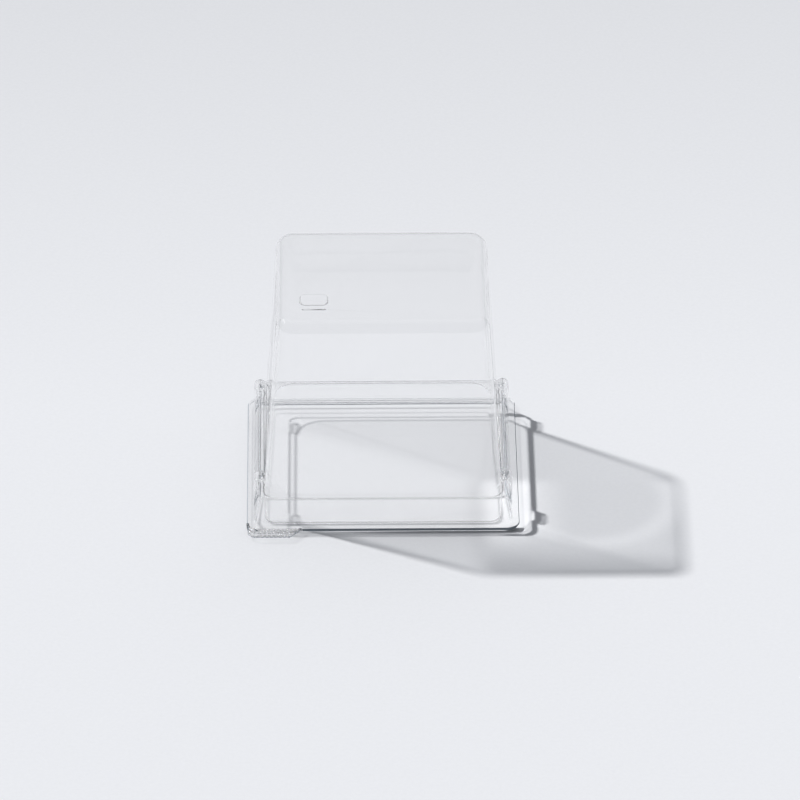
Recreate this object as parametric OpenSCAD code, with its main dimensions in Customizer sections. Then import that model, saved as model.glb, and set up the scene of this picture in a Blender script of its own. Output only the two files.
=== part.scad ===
// Humidity dome on a shallow tray, both thermoformed from clear sheet.
// Millimetres, +Z up. The tray stands on z = 0 and the front is -Y.
// The dome's rim folds down over the tray's rim and lifts straight off.

/* [Footprint] */
// width over the flanges
outer_w = 111.5; // [90:0.5:160]
// depth over the flanges
outer_d = 101; // [80:0.5:150]
// plan radius of the trimmed flange corners
flange_corner_r = 5; // [3:0.25:8]

/* [Sheet] */
// thickness of the formed sheet
sheet_t = 0.5; // [0.35:0.05:0.7]
// play between the nested rims
fit_gap = 0.3; // [0.2:0.05:0.5]

/* [Rim] */
// height of the ledge above the table
ledge_h = 14; // [11:0.5:20]
// width of the ledge, from the skirt to the dome wall
ledge_w = 2.6; // [2.4:0.1:5]
// outside radius of the fold along the ledge
ledge_fold_r = 1; // [0.8:0.1:1.2]
// plan radius of the skirt corners at the foot
skirt_corner_r = 6; // [5.5:0.25:9]
// lean of the skirt in degrees
skirt_lean = 9.5; // [4:0.5:10]
// how far the flange stands out from the skirt
flange_out = 2.5; // [2:0.1:4]
// radius of the fold between skirt and flange
flange_fold_r = 0.6; // [0.4:0.1:0.8]
// height of the tray flange above the table
flange_h = 1; // [0.6:0.1:2]

/* [Dome] */
// overall height
dome_h = 93; // [60:1:140]
// lean of the walls in degrees
wall_lean = 3.85; // [2:0.25:6]
// plan radius of the wall corners at the top
top_corner_r = 7; // [6.5:0.5:14]
// outside radius of the fold round the top
top_fold_r = 5.8; // [3:0.2:6.2]
// radius of the fold at the foot of the walls
foot_fold_r = 0.8; // [0.6:0.1:1]

/* [Lugs] */
// width of a lug, from the dome wall outwards
lug_w = 4.9; // [4:0.1:5.5]
// length of a lug along the rim
lug_l = 9; // [7:0.5:16]
// height of a lug above the ledge
lug_h = 3; // [1.5:0.25:5]
// how far a lug reaches into the thickness of the dome wall
lug_root = 0.38; // [0.3:0.01:0.45]
// distance of the rear lugs behind the middle
lug_rear_y = 38.5; // [15:0.5:39]
// distance of the front lugs before the middle
lug_front_y = 32; // [15:0.5:39]
// outside radius of the lug's top edge
lug_edge_r = 1.3; // [0.9:0.1:1.6]

/* [Finger tab] */
// length of the tab along the front flange, from the left corner
tab_w = 22.5; // [14:0.5:40]
// how far the tab stands out in front
tab_out = 5.8; // [3:0.2:8]
// radius of the tab's outer corner
tab_corner_r = 3.5; // [1.5:0.25:4.5]
// length over which the tab's inner end slopes back to the flange
tab_slope = 5; // [2:0.5:8]

/* [Tray] */
// lean of the tray wall in degrees
tray_lean = 2.5; // [1:0.5:5]
// flat strip along the top of the tray rim, between its folds
tray_rim_flat = 0.6; // [0.55:0.05:2]
// inside radius of the folds along the tray rim
tray_rim_in_r = 0.15; // [0.1:0.05:0.3]
// plan radius of the tray wall corners at the rim
tray_corner_r = 5; // [4:0.25:9]
// radius of the fold round the floor
floor_fold_r = 1.2; // [0.8:0.1:2]
// how far the tray flange stops short of the dome flange
flange_short = 0.3; // [0.1:0.1:0.4]

/* [Hidden] */
$fn = 64;
clear_tint = [0.86, 0.90, 0.93, 0.45];

// levels
tray_flange_top = flange_h + sheet_t;
dome_flange_top = tray_flange_top + sheet_t;
tray_rim_h = ledge_h - sheet_t - fit_gap;

// flange corners, and the rim corners: both rims turn about the same upright axes
edge_x = outer_w / 2 - flange_corner_r;
edge_y = outer_d / 2 - flange_corner_r;
rim_x = outer_w / 2 - flange_out - skirt_corner_r;
rim_y = outer_d / 2 - flange_out - skirt_corner_r;
nest_in = (sheet_t + fit_gap) / cos(skirt_lean);

// dome wall corners
skirt_run = (ledge_h - dome_flange_top) * tan(skirt_lean);
wall_run = (dome_h - ledge_h) * tan(wall_lean);
foot_in = flange_out + skirt_run + ledge_w;
wall_x = snap(outer_w / 2 - foot_in - wall_run - top_corner_r);
wall_y = snap(outer_d / 2 - foot_in - wall_run - top_corner_r);

// lugs: each is a post from the flange to above the ledge, rooted in the dome wall
lug_x = snap(outer_w / 2 - foot_in - lug_root + lug_w / 2);
post_h = ledge_h + lug_h - dome_flange_top;

// plan radius of each leaning face at height z
function skirt_r(z) = skirt_corner_r - (z - dome_flange_top) * tan(skirt_lean);
function wall_r(z) = top_corner_r + (dome_h - z) * tan(wall_lean);
function tray_r(z) = tray_corner_r - (tray_rim_h - z) * tan(tray_lean);

// tray wall corners: the wall stands inside the rim's outer leg by the width of the rim
tray_rim_r = sheet_t + tray_rim_in_r;
tray_rim_w = tray_rim_flat + tray_rim_r * (tan(45 - skirt_lean / 2) + tan(45 - tray_lean / 2));
tray_in = nest_in + tray_rim_w + tray_corner_r - skirt_r(tray_rim_h);
tray_x = snap(rim_x - tray_in);
tray_y = snap(rim_y - tray_in);

// fold centres in the section plane, as [plan radius, height]
function skirt_fold(z, r) = [skirt_r(z) + r / cos(skirt_lean), z];
function wall_fold(z, r) = [wall_r(z) + r / cos(wall_lean), z];
function tray_fold(z, r) = [tray_r(z) + r / cos(tray_lean), z];

top_fold = wall_fold(dome_h - top_fold_r, -top_fold_r);
foot_fold = wall_fold(ledge_h + foot_fold_r, foot_fold_r);
ledge_fold = skirt_fold(ledge_h - ledge_fold_r, -ledge_fold_r);
flange_fold = skirt_fold(dome_flange_top + flange_fold_r, flange_fold_r);
tray_ledge_fold = skirt_fold(tray_rim_h - tray_rim_r, -tray_rim_r) - [nest_in, 0];
tray_flange_fold = skirt_fold(tray_flange_top + flange_fold_r, flange_fold_r) - [nest_in, 0];
tray_rim_fold = tray_fold(tray_rim_h - tray_rim_r, tray_rim_r);
floor_fold = tray_fold(sheet_t + floor_fold_r, -floor_fold_r);

// flat length by which each folded section runs on into the sheet beside it
lead = 0.25;

function snap(v) = round(v * 100) / 100;

// points along a round fold, from angle a to angle b in n steps
function bend(c, r, a, b, n) = [for (i = [0:n]) let (t = a + (b - a) * i / n) c + r * [cos(t), sin(t)]];

// rectangle with round corners about [+-x, +-y]
module plan(x, y, plan_r) {
  r = snap(plan_r);
  square([2 * x + 2 * r, 2 * y], center = true);
  square([2 * x, 2 * y + 2 * r], center = true);
  for (sx = [-1, 1])
    for (sy = [-1, 1])
      translate([sx * x, sy * y])
        intersection() {
          circle(r);
          translate([sx * r / 2, sy * r / 2])
            square(r, center = true);
        }
}

// carries a section round a rectangle with corners about [+-x, +-y]
module ring(x, y) {
  for (s = [0, 180])
    rotate(s) {
      translate([x, y, 0])
        rotate_extrude(angle = 90)
          children();
      translate([-x, y, 0])
        rotate(90)
          rotate_extrude(angle = 90)
            children();
      translate([x, y, 0])
        rotate([90, 0, 0])
          linear_extrude(height = 2 * y)
            children();
      translate([-x, y, 0])
        rotate([90, 0, 90])
          linear_extrude(height = 2 * x)
            children();
    }
}

// flat sheet with its top at z, inside one outline and outside another
module sheet(z) {
  translate([0, 0, z - sheet_t])
    linear_extrude(height = sheet_t)
      children();
}

// outside face from the top down, then the inside face back up
module dome_wall_section() {
  low = 180 + wall_lean;
  polygon(concat(
    [[top_fold[0] - lead, dome_h]],
    bend(top_fold, top_fold_r, 90, wall_lean, 12),
    bend(foot_fold, foot_fold_r, low, 270, 5),
    [[foot_fold[0] + lead, ledge_h]],
    [[foot_fold[0] + lead, ledge_h - sheet_t]],
    bend(foot_fold, foot_fold_r + sheet_t, 270, low, 5),
    bend(top_fold, top_fold_r - sheet_t, wall_lean, 90, 12),
    [[top_fold[0] - lead, dome_h - sheet_t]]
  ));
}

// rim from its upper fold, down the skirt and out into the flange
module rim_section(upper, lower, upper_r) {
  low = 180 + skirt_lean;
  high_z = upper[1] + upper_r;
  low_z = lower[1] - flange_fold_r;
  polygon(concat(
    [[upper[0] - lead, high_z]],
    bend(upper, upper_r, 90, skirt_lean, 6),
    bend(lower, flange_fold_r, low, 270, 4),
    [[lower[0] + lead, low_z]],
    [[lower[0] + lead, low_z - sheet_t]],
    bend(lower, flange_fold_r + sheet_t, 270, low, 4),
    bend(upper, upper_r - sheet_t, skirt_lean, 90, 6),
    [[upper[0] - lead, high_z - sheet_t]]
  ));
}

// face towards the plants from the rim down to the floor, then the other face back up
module tray_wall_section() {
  high = 180 - tray_lean;
  low = 360 - tray_lean;
  polygon(concat(
    [[tray_rim_fold[0] + lead, tray_rim_h]],
    bend(tray_rim_fold, tray_rim_r, 90, high, 6),
    bend(floor_fold, floor_fold_r, low, 270, 8),
    [[floor_fold[0] - lead, sheet_t]],
    [[floor_fold[0] - lead, 0]],
    bend(floor_fold, floor_fold_r + sheet_t, 270, low, 8),
    bend(tray_rim_fold, tray_rim_r - sheet_t, high, 90, 6),
    [[tray_rim_fold[0] + lead, tray_rim_h - sheet_t]]
  ));
}

// half of a lug's section, solid, with a round top edge
module lug_section(w, h, r) {
  polygon(concat([[0, 0], [w / 2, 0]], bend([w / 2 - r, h - r], r, 0, 90, 6), [[0, h]]));
}

// long button with round ends, standing on z = 0
module lug_body(w, l, h, r) {
  straight = l - w;
  for (s = [0, 180])
    rotate(s) {
      translate([0, straight / 2, 0])
        rotate_extrude(angle = 180)
          lug_section(w, h, r);
      translate([0, straight / 2, 0])
        rotate([90, 0, 0])
          linear_extrude(height = straight)
            lug_section(w, h, r);
    }
}

module at_lugs() {
  for (sx = [-1, 1])
    for (y = [lug_rear_y, -lug_front_y])
      translate([sx * lug_x, y, dome_flange_top])
        children();
}

// room inside the rim, from the middle of the skirt's sheet inwards and below the ledge
module rim_room() {
  top = ledge_h - sheet_t / 2;
  in = sheet_t / 2;
  ring(rim_x, rim_y)
    polygon([[0, 0], [skirt_r(0) - in, 0], [skirt_r(top) - in, top], [0, top]]);
}

// finger tab in plan, at the front left corner of the flange
module tab_plan() {
  left = -outer_w / 2;
  edge = -outer_d / 2;
  front = edge - tab_out;
  straight = tab_w - tab_slope;
  translate([left, front + tab_corner_r])
    square([straight, tab_out + flange_corner_r - tab_corner_r]);
  translate([left + tab_corner_r, front])
    square([straight - tab_corner_r, tab_corner_r]);
  translate([left + tab_corner_r, front + tab_corner_r])
    intersection() {
      circle(tab_corner_r);
      translate([-tab_corner_r, -tab_corner_r])
        square(tab_corner_r);
    }
  translate([left + straight, edge])
    polygon([[0, 1], [0, -tab_out], [tab_slope, 0], [tab_slope, 1]]);
}

module dome_shell() {
  sheet(dome_h)
    plan(wall_x, wall_y, top_fold[0] - lead / 2);
  ring(wall_x, wall_y)
    dome_wall_section();
  sheet(ledge_h)
    difference() {
      plan(rim_x, rim_y, ledge_fold[0] - lead / 2);
      plan(wall_x, wall_y, foot_fold[0] + lead / 2);
    }
  ring(rim_x, rim_y)
    rim_section(ledge_fold, flange_fold, ledge_fold_r);
  sheet(dome_flange_top)
    difference() {
      union() {
        plan(edge_x, edge_y, flange_corner_r);
        tab_plan();
      }
      plan(rim_x, rim_y, flange_fold[0] + lead / 2);
    }
}

module dome() {
  color(clear_tint)
    difference() {
      union() {
        dome_shell();
        difference() {
          at_lugs()
            lug_body(lug_w, lug_l, post_h, lug_edge_r);
          rim_room();
        }
      }
      at_lugs()
        lug_body(lug_w - 2 * sheet_t, lug_l - 2 * sheet_t, post_h - sheet_t, lug_edge_r - sheet_t);
    }
}

module tray() {
  color(clear_tint) {
    sheet(sheet_t)
      plan(tray_x, tray_y, floor_fold[0] - lead / 2);
    ring(tray_x, tray_y)
      tray_wall_section();
    sheet(tray_rim_h)
      difference() {
        plan(rim_x, rim_y, tray_ledge_fold[0] - lead / 2);
        plan(tray_x, tray_y, tray_rim_fold[0] + lead / 2);
      }
    ring(rim_x, rim_y)
      rim_section(tray_ledge_fold, tray_flange_fold, tray_rim_r);
    sheet(tray_flange_top)
      difference() {
        plan(edge_x, edge_y, flange_corner_r - flange_short);
        plan(rim_x, rim_y, tray_flange_fold[0] + lead / 2);
      }
  }
}

tray();
dome();
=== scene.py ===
# Humidity dome standing closed on its shallow tray: two thin sheets of clear PET, each drawn over
# a mould and trimmed. Sizes are in millimetres, and a finished mesh is brought to metres.

from math import acos, copysign, cos, pi, radians, sin, tan

import bmesh
import bpy
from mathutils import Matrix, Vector


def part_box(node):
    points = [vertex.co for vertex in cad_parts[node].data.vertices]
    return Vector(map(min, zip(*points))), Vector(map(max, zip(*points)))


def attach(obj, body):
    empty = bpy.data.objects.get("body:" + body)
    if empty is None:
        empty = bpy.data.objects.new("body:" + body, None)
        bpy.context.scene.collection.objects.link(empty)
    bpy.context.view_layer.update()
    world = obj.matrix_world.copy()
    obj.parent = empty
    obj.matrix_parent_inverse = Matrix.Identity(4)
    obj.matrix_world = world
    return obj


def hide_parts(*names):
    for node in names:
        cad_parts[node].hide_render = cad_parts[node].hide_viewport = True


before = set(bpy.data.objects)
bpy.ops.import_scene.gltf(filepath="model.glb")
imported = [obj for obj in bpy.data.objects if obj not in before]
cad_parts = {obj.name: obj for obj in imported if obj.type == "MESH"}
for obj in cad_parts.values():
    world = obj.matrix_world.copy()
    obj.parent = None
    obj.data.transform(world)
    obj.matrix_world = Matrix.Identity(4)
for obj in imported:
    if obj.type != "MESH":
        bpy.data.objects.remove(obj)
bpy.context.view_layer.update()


# Tray
# The shallow lower half, which holds the growing medium. One sheet of clear PET, half a millimetre
# thick, is heated, drawn into a mould and trimmed. Its wall leans out from the floor and folds over
# into a rim like an upturned U, which the dome's rim sits over.

metres = 0.001
tolerance = 0.01
sheet_t = 0.5
fit_gap = 0.3
dome_low, dome_high = (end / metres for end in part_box("dome"))
tray_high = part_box("tray")[1] / metres

flange_corner_r = 5
flange_out = 2.5
flange_fold_r = 0.6
skirt_corner_r = 6
skirt_lean = 9.5
edge_axis = dome_high.xy - Vector((1, 1)) * flange_corner_r
rim_axis = dome_high.xy - Vector((1, 1)) * (flange_out + skirt_corner_r)
dome_flange_top = dome_low.z + sheet_t
tray_flange_top = dome_flange_top - sheet_t
nest_r = skirt_corner_r - (sheet_t + fit_gap) / cos(radians(skirt_lean))

tray_corner_r = 5
tray_lean = 2.5
tray_rim_r = 0.65
rim_flat_w = 0.6
tray_rim_w = rim_flat_w + tray_rim_r * (tan(radians(45 - skirt_lean / 2)) + tan(radians(45 - tray_lean / 2)))
tray_leg_r = nest_r - (tray_high.z - dome_flange_top) * tan(radians(skirt_lean))
tray_axis = rim_axis + Vector((1, 1)) * (tray_leg_r - tray_rim_w - tray_corner_r)
floor_fold_r = 1.2

corner_steps = 14
wide_fold_steps = 12
fold_steps = 6
smooth_below = 40
fold_turn = (0.04, 0.14)
tray_fold_loss = 0.25
cut_loss = 0.15


def fold(centre, radius, start, stop, steps):
    """Points of a round fold in the sheet's section, as (plan radius, height), between two angles."""
    turns = [radians(start + (stop - start) * step / steps) for step in range(steps + 1)]
    return [(centre[0] + radius * cos(turn), centre[1] + radius * sin(turn)) for turn in turns]


def fold_centre(face_r, face_z, lean, z, radius):
    """Centre of a fold at height z beside a face that leans in by so many degrees."""
    slope = radians(lean)
    return face_r - (z - face_z) * tan(slope) + radius / cos(slope), z


def rim_section(upper, upper_r, lower):
    """The rim from the fold along its top, down the skirt and through the fold into the flange."""
    section = fold(upper, upper_r, 90, skirt_lean, fold_steps)
    return section + fold(lower, flange_fold_r, 180 + skirt_lean, 270, fold_steps)


def panel(bm, axis, radius, height):
    """A flat sheet with corners rounded about (+-x, +-y). Returns the hoop of edges round it."""
    verts = bmesh.ops.create_grid(bm, x_segments=1, y_segments=1, size=1)["verts"]
    bmesh.ops.scale(bm, vec=(axis.x + radius, axis.y + radius, 1), verts=verts)
    bmesh.ops.translate(bm, vec=(0, 0, height), verts=verts)
    bmesh.ops.bevel(bm, geom=verts, affect="VERTICES", offset=radius, segments=corner_steps,
                    profile=0.5, material=-1, clamp_overlap=False)
    return bm.edges[:]


def parts_of(made, kind):
    """The edges or the vertices among what an operator has made."""
    return [part for part in made["geom"] if isinstance(part, kind)]


def carry_on(bm, hoop, start, turns):
    """Draws the sheet on from a hoop of edges: each turn is a corner axis with a section to follow."""
    axis, radius = start
    for next_axis, section in turns:
        for next_radius, height in section:
            made = bmesh.ops.extrude_edge_only(bm, edges=hoop)
            hoop = parts_of(made, bmesh.types.BMEdge)
            for vert in parts_of(made, bmesh.types.BMVert):
                side = Vector((copysign(1, vert.co.x), copysign(1, vert.co.y)))
                outward = (vert.co.xy - side * axis) / radius
                vert.co.xy = side * next_axis + outward * next_radius
                vert.co.z = height
            axis, radius = next_axis, next_radius


def modified(bm, kind, **settings):
    """The mesh as one modifier with these settings leaves it."""
    helper = bpy.data.objects.new("helper", bpy.data.meshes.new("helper"))
    bpy.context.scene.collection.objects.link(helper)
    bm.to_mesh(helper.data)
    bm.free()
    modifier = helper.modifiers.new("helper", kind)
    for name, value in settings.items():
        setattr(modifier, name, value)
    result = bmesh.new()
    result.from_object(helper, bpy.context.evaluated_depsgraph_get())
    bpy.data.meshes.remove(helper.data)
    return result


def thickened(bm):
    """The sheet with its thickness added on its inner side, and its cut edges in the second material."""
    bmesh.ops.remove_doubles(bm, verts=bm.verts, dist=tolerance / 10)
    bmesh.ops.recalc_face_normals(bm, faces=bm.faces)
    highest = max(bm.faces, key=lambda face: face.calc_center_median().z)
    if highest.normal.z < 0:
        bmesh.ops.reverse_faces(bm, faces=bm.faces)
    both_sides = 2 * len(bm.faces)
    bm = modified(bm, "SOLIDIFY", thickness=sheet_t, offset=-1)
    for face in bm.faces[:][both_sides:]:
        face.material_index = 1
    return bm


def add_piece(name, bm, materials):
    """Makes a mesh object of a finished bmesh, in metres, with folds smooth and cut edges sharp."""
    bmesh.ops.scale(bm, vec=(metres, metres, metres), verts=bm.verts)
    mesh = bpy.data.meshes.new(name)
    bm.to_mesh(mesh)
    bm.free()
    for material in materials:
        mesh.materials.append(material)
    mesh.shade_smooth()
    mesh.set_sharp_from_angle(angle=radians(smooth_below))
    piece = bpy.data.objects.new(name, mesh)
    piece.modifiers.new("even_flats", "WEIGHTED_NORMAL").keep_sharp = True
    bpy.context.scene.collection.objects.link(piece)
    return piece


def linear(code):
    """Linear colour of an sRGB hex value."""
    parts = [int(code[place:place + 2], 16) / 255 for place in (1, 3, 5)]
    return [part / 12.92 if part <= 0.04045 else ((part + 0.055) / 1.055) ** 2.4 for part in parts] + [1]


def add_node(tree, kind, inputs=None, **settings):
    """Adds a node with its settings. An input is a plain value, or the socket that it is linked to."""
    node = tree.nodes.new(kind)
    for name, value in settings.items():
        setattr(node, name, value)
    for name, value in (inputs or {}).items():
        if isinstance(value, bpy.types.NodeSocket):
            tree.links.new(value, node.inputs[name])
        else:
            node.inputs[name].default_value = value
    return node


def calc(tree, operation, *values):
    """One sum, such as MULTIPLY or MAXIMUM, carried on over all the values."""
    result = values[0]
    for value in values[1:]:
        result = add_node(tree, "ShaderNodeMath", {0: result, 1: value}, operation=operation).outputs[0]
    return result


def ramp(tree, value, start, end, low=0, high=1):
    """Low up to start, high from end on, and evenly in between."""
    inputs = {"Value": value, "From Min": start, "From Max": end, "To Min": low, "To Max": high}
    return add_node(tree, "ShaderNodeMapRange", inputs).outputs[0]


def shade(tree, share, first, second):
    """A colour between two sRGB hex values, or beyond the first one where the share is below 0."""
    inputs = {0: share, 6: linear(first), 7: linear(second)}
    return add_node(tree, "ShaderNodeMix", inputs, data_type="RGBA", clamp_factor=False).outputs[2]


def empty_material(name):
    """A material with a bare node tree."""
    material = bpy.data.materials.new(name)
    material.use_nodes = True
    material.node_tree.nodes.clear()
    return material


def let_light_through(tree, shader, lost):
    """Ends a material so that a lamp's light goes straight through it, less the share that is lost."""
    through = add_node(tree, "ShaderNodeBsdfTransparent", {"Color": shade(tree, lost, "#ffffff", "#202833")})
    path = add_node(tree, "ShaderNodeLightPath").outputs
    lamp = calc(tree, "MAXIMUM", path["Is Shadow Ray"], path["Is Diffuse Ray"])
    surface = add_node(tree, "ShaderNodeMixShader", {0: lamp, 1: shader.outputs[0], 2: through.outputs[0]})
    add_node(tree, "ShaderNodeOutputMaterial", {"Surface": surface.outputs[0]})


def bent(tree, upright):
    """1 where the sheet turns between lying and standing, 0 on flats and on walls that lean a little."""
    square = calc(tree, "MULTIPLY", upright, upright)
    turning = calc(tree, "MULTIPLY", square, calc(tree, "SUBTRACT", 1, square))
    return ramp(tree, turning, *fold_turn)


def clear_pet(name, ior, ripple_w, lost_light):
    """Clear PET sheet as it leaves the mould: glossy and colourless, with slow ripples from the draw."""
    ripple_h = 0.08
    material = empty_material(name)
    tree = material.node_tree
    place = add_node(tree, "ShaderNodeTexCoord").outputs
    in_mm = add_node(tree, "ShaderNodeVectorMath", {0: place["Object"], "Scale": 1 / metres},
                     operation="SCALE").outputs[0]
    ripple = add_node(tree, "ShaderNodeTexNoise",
                      {"Vector": in_mm, "Scale": 1 / ripple_w, "Detail": 1.5}).outputs[0]
    bump = add_node(tree, "ShaderNodeBump", {"Height": ripple, "Strength": 1, "Distance": ripple_h * metres})
    clear = add_node(tree, "ShaderNodeBsdfPrincipled",
                     {"Base Color": shade(tree, ripple, "#fefefe", "#ffffff"), "Normal": bump.outputs[0],
                      "Roughness": ramp(tree, ripple, 0, 1, 0.01, 0.05),
                      "IOR": ior, "Transmission Weight": 1})
    spot = add_node(tree, "ShaderNodeSeparateXYZ", {0: in_mm}).outputs
    lean = add_node(tree, "ShaderNodeSeparateXYZ", {0: place["Normal"]}).outputs
    let_light_through(tree, clear, lost_light(tree, spot, lean))
    return material


def cut_pet():
    """PET where the knife has cut it: matt, with a grey painted in as shade, the dark thin line that a clear
    cut edge shows round the sheet.
    """
    scratch_w = 0.8
    material = empty_material("trimmed_pet_edge_painted_shade")
    tree = material.node_tree
    place = add_node(tree, "ShaderNodeTexCoord").outputs["Object"]
    scratch = add_node(tree, "ShaderNodeTexNoise", {"Vector": place, "Scale": 1 / (scratch_w * metres)})
    # Painted shade: this grey stands for the darkness a clear sheet's cut edge shows, not for a colour of
    # the PET.
    painted_shade_grey = shade(tree, scratch.outputs[0], "#6f7883", "#a0a8b0")
    matt = add_node(tree, "ShaderNodeBsdfPrincipled", {"Base Color": painted_shade_grey, "Roughness": 0.6})
    let_light_through(tree, matt, cut_loss)
    return material


def lost_in_tray(tree, spot, lean):
    """The tray's folds bend a little of the light aside."""
    return calc(tree, "MULTIPLY", bent(tree, lean["Z"]), tray_fold_loss)


floor_fold = fold_centre(tray_corner_r, tray_high.z, -tray_lean, sheet_t + floor_fold_r, -floor_fold_r)
rim_fold = fold_centre(tray_corner_r, tray_high.z, -tray_lean, tray_high.z - tray_rim_r, tray_rim_r)
leg_fold = fold_centre(nest_r, dome_flange_top, skirt_lean, tray_high.z - tray_rim_r, -tray_rim_r)
tray_flange_fold = fold_centre(nest_r, dome_flange_top, skirt_lean, tray_flange_top + flange_fold_r,
                               flange_fold_r)
tray_section = fold(floor_fold, floor_fold_r, 270, 360 - tray_lean, wide_fold_steps)[1:]
tray_section += fold(rim_fold, tray_rim_r, 180 - tray_lean, 90, fold_steps)

bm = bmesh.new()
floor_hoop = panel(bm, tray_axis, floor_fold[0], sheet_t)
carry_on(bm, floor_hoop, (tray_axis, floor_fold[0]),
         [(tray_axis, tray_section), (rim_axis, rim_section(leg_fold, tray_rim_r, tray_flange_fold)),
          (edge_axis, [(tray_high.x - edge_axis.x, tray_flange_top)])])
cut_edge = cut_pet()
tray_pet = clear_pet("clear_pet_tray", ior=1.2, ripple_w=20, lost_light=lost_in_tray)
tray = add_piece("clear_tray", thickened(bm), [tray_pet, cut_edge])
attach(tray, "tray")
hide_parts("tray")


# Dome
# The tall upper half, drawn from the same clear sheet over a mould with leaning walls and a wide round
# fold round its flat top. At its foot a ledge with four lugs runs out to a skirt and a narrow flange with
# an upturned lip, which drop over the tray's rim, and a finger tab with small studs widens the flange.

ledge_h = tray_high.z + fit_gap + sheet_t
ledge_w = 2.6
ledge_fold_r = 1
foot_in = flange_out + (ledge_h - dome_flange_top) * tan(radians(skirt_lean)) + ledge_w
foot_fold_r = 0.8
wall_lean = 3.85
wall_run = (dome_high.z - ledge_h) * tan(radians(wall_lean))
top_corner_r = 7
top_fold_r = 5.8
wall_axis = dome_high.xy - Vector((1, 1)) * (foot_in + wall_run + top_corner_r)
top_fold = fold_centre(top_corner_r, dome_high.z, wall_lean, dome_high.z - top_fold_r, -top_fold_r)
foot_fold = fold_centre(top_corner_r, dome_high.z, wall_lean, ledge_h + foot_fold_r, foot_fold_r)
ledge_fold = fold_centre(skirt_corner_r, dome_flange_top, skirt_lean, ledge_h - ledge_fold_r, -ledge_fold_r)
flange_fold = fold_centre(skirt_corner_r, dome_flange_top, skirt_lean, dome_flange_top + flange_fold_r,
                          flange_fold_r)
# The lip's section: how far each point lies in from the flange's edge, and its rise over the flange.
lip_points = ((0.9, 0), (0.55, 0.04), (0.25, 0.15), (0, 0.33))

close_below = 1
block_corner_steps, block_edge_steps = 8, 4
lug_w, lug_l, lug_h, lug_edge_r = 4.9, 9, 3, 1.3
lug_sunk = 0.38
lug_x = dome_high.x - foot_in - lug_sunk + lug_w / 2
lug_ys = (38.5, -32)
mark_frame = ((-28, -18.4), (11.8, 9.2))
mark_bar = ((-28, -26), (9.8, 1.1))
mark_h, mark_edge_r, mark_root, mark_round = 0.15, 0.12, 1, 0.3

tab_right = -33.25
tab_front = dome_low.y
tab_slope = 5
tab_corner_r, tab_corner_steps = 3.5, 8
tab_step, tab_rows = 0.3, 20
stud_columns, stud_rows, stud_h = 6, 3, 0.6

# Shares of a lamp's light that the dome bends aside or gathers.
left_loss, side_loss, back_loss, front_loss = 0.01, 0.07, 0.08, 0.15
top_loss, top_right_loss, top_front_loss = 0.09, 0.16, 0.32
far_fold_loss, near_fold_loss, rim_fold_loss, lip_share = 0.08, 0.75, 0.35, 0.15
corner_loss, foot_left_loss, foot_right_loss = 0.7, 0.2, 0.85
top_gain = 0.24
grazing_power, corner_turn = 7, (0.005, 0.06)

# The places where those shares change, each from a start to an end in millimetres.
wall_face = wall_axis + Vector((1, 1)) * top_corner_r
top_edge = wall_axis + Vector((1, 1)) * top_fold[0]
foot_y = flange_out - dome_high.y
on_wall = (ledge_h + foot_fold_r, ledge_h + 1.2)
on_top = (dome_high.z - 2 * sheet_t, dome_high.z - 1.2 * sheet_t)
off_left = (1.825 - wall_face.x, 4.825 - wall_face.x)
at_back = (wall_face.y - 2.075, wall_face.y - 0.575)
at_front = (2.075 - wall_face.y, 0.575 - wall_face.y)
top_front = (14.65 - top_edge.y, -1.35 - top_edge.y)
top_right = (top_edge.x - 7.9, top_edge.x + 4.1)
# Painted light: a ring on the top where no light is lost, which throws a bright arc into the shadow.
painted_ring_at, painted_ring_r, painted_ring_band = Vector((4, 20)), 32, (1, 6)
gain_left, gain_back = (-6, -30), (-18, -5)
far_to_near = (-7, 30)
above_lugs = (ledge_h + lug_h + 0.2, ledge_h + lug_h + 0.5)
above_lip = (dome_flange_top + 1, dome_flange_top + 1.4)
brink_low, brink_high = (ledge_h - 3.4, ledge_h - 3.1), (ledge_h - 0.55, ledge_h - 0.6)
brink_right = (rim_axis.x - 12.25, rim_axis.x - 5.25)
foot_high = (dome_flange_top + 4.2, dome_flange_top + 3.8)
foot_outer, foot_inner = (foot_y - 1.2, foot_y - 0.8), (foot_y + 2.5, foot_y + 2)
foot_along = (-25, 20)


def block(bm, middle, size, low, high, corner_r, edge_r):
    """A solid with round upright corners and a round top edge, to join to the sheet's solid."""
    made = bmesh.ops.create_cube(bm, size=1)["verts"]
    bmesh.ops.scale(bm, vec=(size[0], size[1], high - low), verts=made)
    bmesh.ops.translate(bm, vec=(middle[0], middle[1], (low + high) / 2), verts=made)
    upright = [edge for edge in bm.edges if edge.verts[0] in made
               and abs(edge.verts[0].co.z - edge.verts[1].co.z) > (high - low) / 2]
    rounded = bmesh.ops.bevel(bm, geom=upright, affect="EDGES", offset=corner_r, profile=0.5, material=-1,
                              segments=block_corner_steps)["faces"]
    tips = {vert for face in rounded for vert in face.verts if vert.co.z > high - tolerance}
    top = [edge for edge in bm.edges if tips.issuperset(edge.verts)]
    bmesh.ops.bevel(bm, geom=top, affect="EDGES", offset=edge_r, profile=0.5, material=-1,
                    segments=block_edge_steps)


def along(line, share):
    """The point that lies at a share of the whole length of a line of points."""
    points = [Vector(point) for point in line]
    left = share * sum((b - a).length for a, b in zip(points, points[1:]))
    for a, b in zip(points, points[1:]):
        if left <= (b - a).length:
            return a.lerp(b, left / (b - a).length)
        left -= (b - a).length
    return points[-1]


def lost_in_walls(tree, spot):
    """The flat walls: the front one loses most and the left one least."""
    left = ramp(tree, spot["X"], *off_left, left_loss, side_loss)
    back = ramp(tree, spot["Y"], *at_back, 0, back_loss)
    front = ramp(tree, spot["Y"], *at_front, 0, front_loss)
    return calc(tree, "MAXIMUM", left, back, front)


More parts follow.
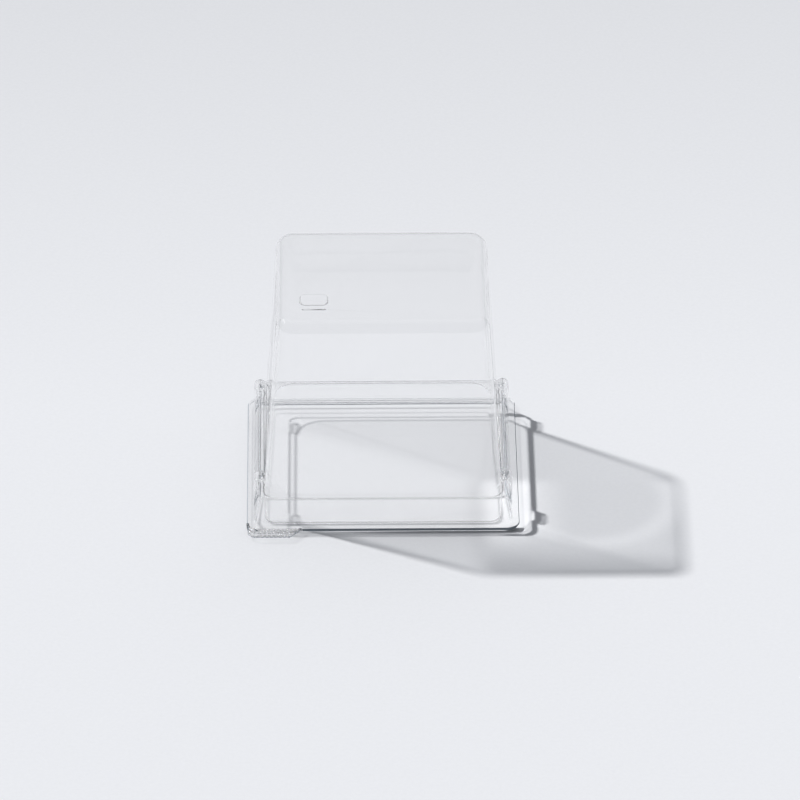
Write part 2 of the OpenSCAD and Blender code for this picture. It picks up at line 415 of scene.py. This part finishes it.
def lost_in_top(tree, spot):
    """The flat top: it loses more towards its front and right, and nothing in a ring, which paints a bright
    arc of light into the shadow.
    """
    front = ramp(tree, spot["Y"], *top_front, top_loss, top_front_loss)
    right = ramp(tree, spot["X"], *top_right, top_loss, top_right_loss)
    across = calc(tree, "SUBTRACT", spot["X"], painted_ring_at.x)
    back = calc(tree, "SUBTRACT", spot["Y"], painted_ring_at.y)
    squares = calc(tree, "ADD", calc(tree, "MULTIPLY", across, across), calc(tree, "MULTIPLY", back, back))
    off_ring = calc(tree, "SUBTRACT", calc(tree, "POWER", squares, 0.5), painted_ring_r)
    beside = ramp(tree, calc(tree, "ABSOLUTE", off_ring, 0), *painted_ring_band)
    return calc(tree, "MULTIPLY", calc(tree, "MAXIMUM", front, right), beside)


def lost_in_folds(tree, spot, lean):
    """The folds: the top's lose most at the front right, where the light comes out, and the lip's little."""
    away = calc(tree, "SUBTRACT", spot["X"], spot["Y"])
    top = ramp(tree, away, *far_to_near, far_fold_loss, near_fold_loss)
    rim = ramp(tree, spot["Z"], *above_lugs, rim_fold_loss, 0)
    not_lip = ramp(tree, spot["Z"], *above_lip, lip_share, 1)
    return calc(tree, "MULTIPLY", calc(tree, "MAXIMUM", top, rim), not_lip, bent(tree, lean["Z"]))


def lost_in_corners(tree, lean, facing):
    """The upright corners, where the light only grazes them."""
    slant = calc(tree, "MULTIPLY", lean["X"], lean["Y"])
    turned = ramp(tree, calc(tree, "MULTIPLY", slant, slant), *corner_turn)
    return calc(tree, "MULTIPLY", turned, facing, facing, corner_loss)


def lost_in_rim(tree, spot):
    """The skirt: the brink along its right side, and its foot along the front, more to the right."""
    brink = calc(tree, "MULTIPLY", ramp(tree, spot["Z"], *brink_low), ramp(tree, spot["Z"], *brink_high),
                 ramp(tree, spot["X"], *brink_right))
    foot = calc(tree, "MULTIPLY", ramp(tree, spot["Z"], *foot_high), ramp(tree, spot["Y"], *foot_outer),
                ramp(tree, spot["Y"], *foot_inner))
    share = ramp(tree, spot["X"], *foot_along, foot_left_loss, foot_right_loss)
    return calc(tree, "MAXIMUM", brink, calc(tree, "MULTIPLY", foot, share))


def lost_in_dome(tree, spot, lean):
    """What the dome bends aside, less a painted pool of light at the left end of its top, which lets through
    more light than falls on it.
    """
    facing = add_node(tree, "ShaderNodeLayerWeight", {"Blend": 0.5}).outputs["Facing"]
    wall = ramp(tree, spot["Z"], *on_wall)
    top = ramp(tree, spot["Z"], *on_top)
    walls = calc(tree, "MULTIPLY", lost_in_walls(tree, spot), wall)
    flats = add_node(tree, "ShaderNodeMix", {0: top, 2: walls, 3: lost_in_top(tree, spot)}).outputs[0]
    corners = calc(tree, "MULTIPLY", lost_in_corners(tree, lean, facing), wall)
    grazed = calc(tree, "POWER", facing, grazing_power)
    lost = calc(tree, "MAXIMUM", flats, corners, grazed, lost_in_folds(tree, spot, lean),
                lost_in_rim(tree, spot))
    gain = calc(tree, "MULTIPLY", top, ramp(tree, spot["X"], *gain_left, 0, top_gain),
                ramp(tree, spot["Y"], *gain_back))
    return calc(tree, "SUBTRACT", lost, gain)


dome_section = fold(top_fold, top_fold_r, 90, wall_lean, wide_fold_steps)[1:]
dome_section += fold(foot_fold, foot_fold_r, 180 + wall_lean, 270, fold_steps)
lip = [(flange_corner_r - inward, dome_flange_top + rise) for inward, rise in lip_points]

bm = bmesh.new()
top_hoop = panel(bm, wall_axis, top_fold[0], dome_high.z)
carry_on(bm, top_hoop, (wall_axis, top_fold[0]),
         [(wall_axis, dome_section), (rim_axis, rim_section(ledge_fold, ledge_fold_r, flange_fold)),
          (edge_axis, lip)])
bmesh.ops.remove_doubles(bm, verts=bm.verts, dist=tolerance / 10)

# Lugs and marks: the sheet is closed to a solid below, gets them joined on, and is opened again.
hoop = [edge for edge in bm.edges if edge.is_boundary]
below = bmesh.ops.extrude_edge_only(bm, edges=hoop)
bmesh.ops.translate(bm, vec=(0, 0, -close_below), verts=parts_of(below, bmesh.types.BMVert))
bmesh.ops.holes_fill(bm, edges=[edge for edge in bm.edges if edge.is_boundary], sides=0)
bmesh.ops.recalc_face_normals(bm, faces=bm.faces)
raised = bmesh.new()
for lug_y in lug_ys:
    for side in (-1, 1):
        block(raised, (side * lug_x, lug_y), (lug_w, lug_l), dome_flange_top - sheet_t, ledge_h + lug_h,
              lug_w / 2 - tolerance, lug_edge_r)
for middle, size in (mark_frame, mark_bar):
    block(raised, middle, size, dome_high.z - mark_root, dome_high.z + mark_h, mark_round * min(size),
          mark_edge_r)
bmesh.ops.recalc_face_normals(raised, faces=raised.faces)
mould = bpy.data.objects.new("mould", bpy.data.meshes.new("mould"))
raised.to_mesh(mould.data)
raised.free()
bpy.context.scene.collection.objects.link(mould)
bm = modified(bm, "BOOLEAN", operation="UNION", solver="EXACT", object=mould)
bpy.data.meshes.remove(mould.data)
under = [face for face in bm.faces if face.calc_center_median().z < dome_flange_top - tolerance]
bmesh.ops.delete(bm, geom=under, context="FACES")

# Finger tab: the front left edge of the flange is drawn out row by row, with rows of round studs.
hoop = [edge for edge in bm.edges if edge.is_boundary]
front = min(hoop, key=lambda edge: edge.verts[0].co.y + edge.verts[1].co.y)
bmesh.ops.subdivide_edges(bm, edges=[front], cuts=round(front.calc_length() / tab_step) - 1)
tab_hoop = [edge for edge in bm.edges if edge.is_boundary
            and max(v.co.x for v in edge.verts) < tab_right + tolerance
            and max(v.co.y for v in edge.verts) < tolerance - edge_axis.y]
starts = sorted({vert.co.copy().freeze() for edge in tab_hoop for vert in edge.verts},
                key=lambda co: co.x - co.y)
tab_corner = (dome_low.x + tab_corner_r, tab_front + tab_corner_r)
outline = [(dome_low.x, -edge_axis.y)]
outline += fold(tab_corner, tab_corner_r, 180, 270, tab_corner_steps)
outline += [(-edge_axis.x, tab_front)]
ends = []
for start in starts:
    if start.x < -edge_axis.x - tolerance:
        turn = acos(min(1, (-edge_axis.x - start.x) / flange_corner_r)) / (pi / 2)
        ends.append(along(outline, turn).to_3d() + Vector((0, 0, start.z)))
    else:
        reach = min(1, (tab_right - start.x) / tab_slope) * (start.y - tab_front)
        ends.append(start - Vector((0, reach, 0)))
before = starts
for row in range(1, tab_rows + 1):
    made = bmesh.ops.extrude_edge_only(bm, edges=tab_hoop)
    tab_hoop = parts_of(made, bmesh.types.BMEdge)
    after = [start.lerp(end, row / tab_rows) for start, end in zip(starts, ends)]
    row_swell = sin(pi * stud_rows * row / tab_rows)
    for column in range(1, len(after) - 1):
        after[column].z += stud_h * abs(row_swell * sin(pi * column / stud_columns))
    for vert in parts_of(made, bmesh.types.BMVert):
        nearest = min(range(len(before)), key=lambda column: (before[column] - vert.co).length)
        vert.co = after[nearest]
    before = after

# The studs are solid: the tab's underside is flat.
bm = thickened(bm)
bm.normal_update()
flange_edge = starts[-1]
for vert in bm.verts:
    if vert.co.y < flange_edge.y - tolerance and vert.normal.z < 0:
        vert.co.z = flange_edge.z - sheet_t
dome_pet = clear_pet("clear_pet_dome", ior=1.45, ripple_w=24, lost_light=lost_in_dome)
dome = add_piece("clear_dome", bm, [dome_pet, cut_edge])
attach(dome, "dome")
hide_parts("dome")


# Table
# A plain pale sheet of matt paper, which the tray stands on and which takes the shadow. It lies a little
# lower than the tray's floor, so that the two faces don't fall together.

table_w, table_drop = 24000, 0.2
grain_w, grain_h = 1.5, 0.1
# Painted shade: where the paper's colour starts to darken towards the back, and where it is darkest.
painted_shade_from, painted_shade_to = 50, 450

bm = bmesh.new()
bmesh.ops.create_grid(bm, x_segments=1, y_segments=1, size=table_w / 2)
bmesh.ops.translate(bm, vec=(0, 0, -table_drop), verts=bm.verts)

# Matt paper gives the eye a pale, cool ground with a faint grain. Its colour is painted a little darker
# towards the back, as painted shade.
paper = empty_material("matt_paper")
tree = paper.node_tree
place = add_node(tree, "ShaderNodeTexCoord").outputs["Object"]
grain = add_node(tree, "ShaderNodeTexNoise",
                 {"Vector": place, "Scale": 1 / (grain_w * metres), "Detail": 4}).outputs[0]
back = add_node(tree, "ShaderNodeSeparateXYZ", {0: place}).outputs["Y"]
# Painted shade: the paper tone darkens from front to back.
tone = shade(tree, ramp(tree, back, painted_shade_from * metres, painted_shade_to * metres), "#ebecef", "#dcdde0")
fleck = shade(tree, grain, "#f8f8f8", "#ffffff")
flecked = add_node(tree, "ShaderNodeMix", {0: 1, 6: tone, 7: fleck}, data_type="RGBA", blend_type="MULTIPLY")
fibre = add_node(tree, "ShaderNodeBump", {"Height": grain, "Strength": 0.3, "Distance": grain_h * metres})
matt = add_node(tree, "ShaderNodeBsdfPrincipled",
                {"Base Color": flecked.outputs[2], "Normal": fibre.outputs[0],
                 "Roughness": 0.9, "Specular IOR Level": 0.1})
add_node(tree, "ShaderNodeOutputMaterial", {"Surface": matt.outputs[0]})
table = add_piece("table_paper", bm, [paper])


# Light
# One small bright lamp high at the back left, which throws the shadow to the front right, and a dim
# room that is brighter high up at the back, where the dome's top mirrors it.

lamp_from = Vector((-0.623, 0.350, 0.700))
lamp_power, lamp_width = 3.35, 2.8
glow_from = (0, 0.77, 0.64)
glow_start, glow_full = 0.45, 0.85
room_dim, room_bright = (0.095, 0.102, 0.114, 1), (0.6, 0.61, 0.63, 1)

lamp = bpy.data.objects.new("window_lamp", bpy.data.lights.new("window_lamp", "SUN"))
lamp.data.energy = lamp_power
lamp.data.angle = radians(lamp_width)
lamp.rotation_euler = lamp_from.to_track_quat("Z", "Y").to_euler()
bpy.context.scene.collection.objects.link(lamp)

room = bpy.data.worlds.new("room")
room.use_nodes = True
bpy.context.scene.world = room
tree = room.node_tree
look = add_node(tree, "ShaderNodeTexCoord").outputs["Generated"]
towards_glow = add_node(tree, "ShaderNodeVectorMath", {0: look, 1: glow_from}, operation="DOT_PRODUCT")
glow = ramp(tree, towards_glow.outputs["Value"], glow_start, glow_full)
room_tone = add_node(tree, "ShaderNodeMix", {0: glow, 6: room_dim, 7: room_bright}, data_type="RGBA")
tree.links.new(room_tone.outputs[2], tree.nodes["Background"].inputs["Color"])


# Camera
# A long lens from above the front, a little to the left of the middle. A ray may meet dozens of faces of
# clear sheet on its way, so no kind of bounce is cut short.

aim = Vector((7.36, 0, 32.84)) * metres
yaw, rise = radians(-0.61), radians(32.14)
distance = 3441 * metres
picture_px, px_w = 800, 0.4137
picture_w = picture_px * px_w * metres
most_bounces = 64

eye = bpy.data.objects.new("eye", bpy.data.cameras.new("eye"))
towards_eye = Vector((sin(yaw) * cos(rise), -cos(yaw) * cos(rise), sin(rise)))
eye.location = aim + distance * towards_eye
eye.rotation_euler = towards_eye.to_track_quat("Z", "Y").to_euler()
eye.data.lens = eye.data.sensor_width * distance / picture_w
bpy.context.scene.collection.objects.link(eye)
bpy.context.scene.camera = eye

bpy.context.scene.view_settings.view_transform = "Standard"
for kind in ("max_bounces", "glossy_bounces", "transmission_bounces", "transparent_max_bounces"):
    setattr(bpy.context.scene.cycles, kind, most_bounces)
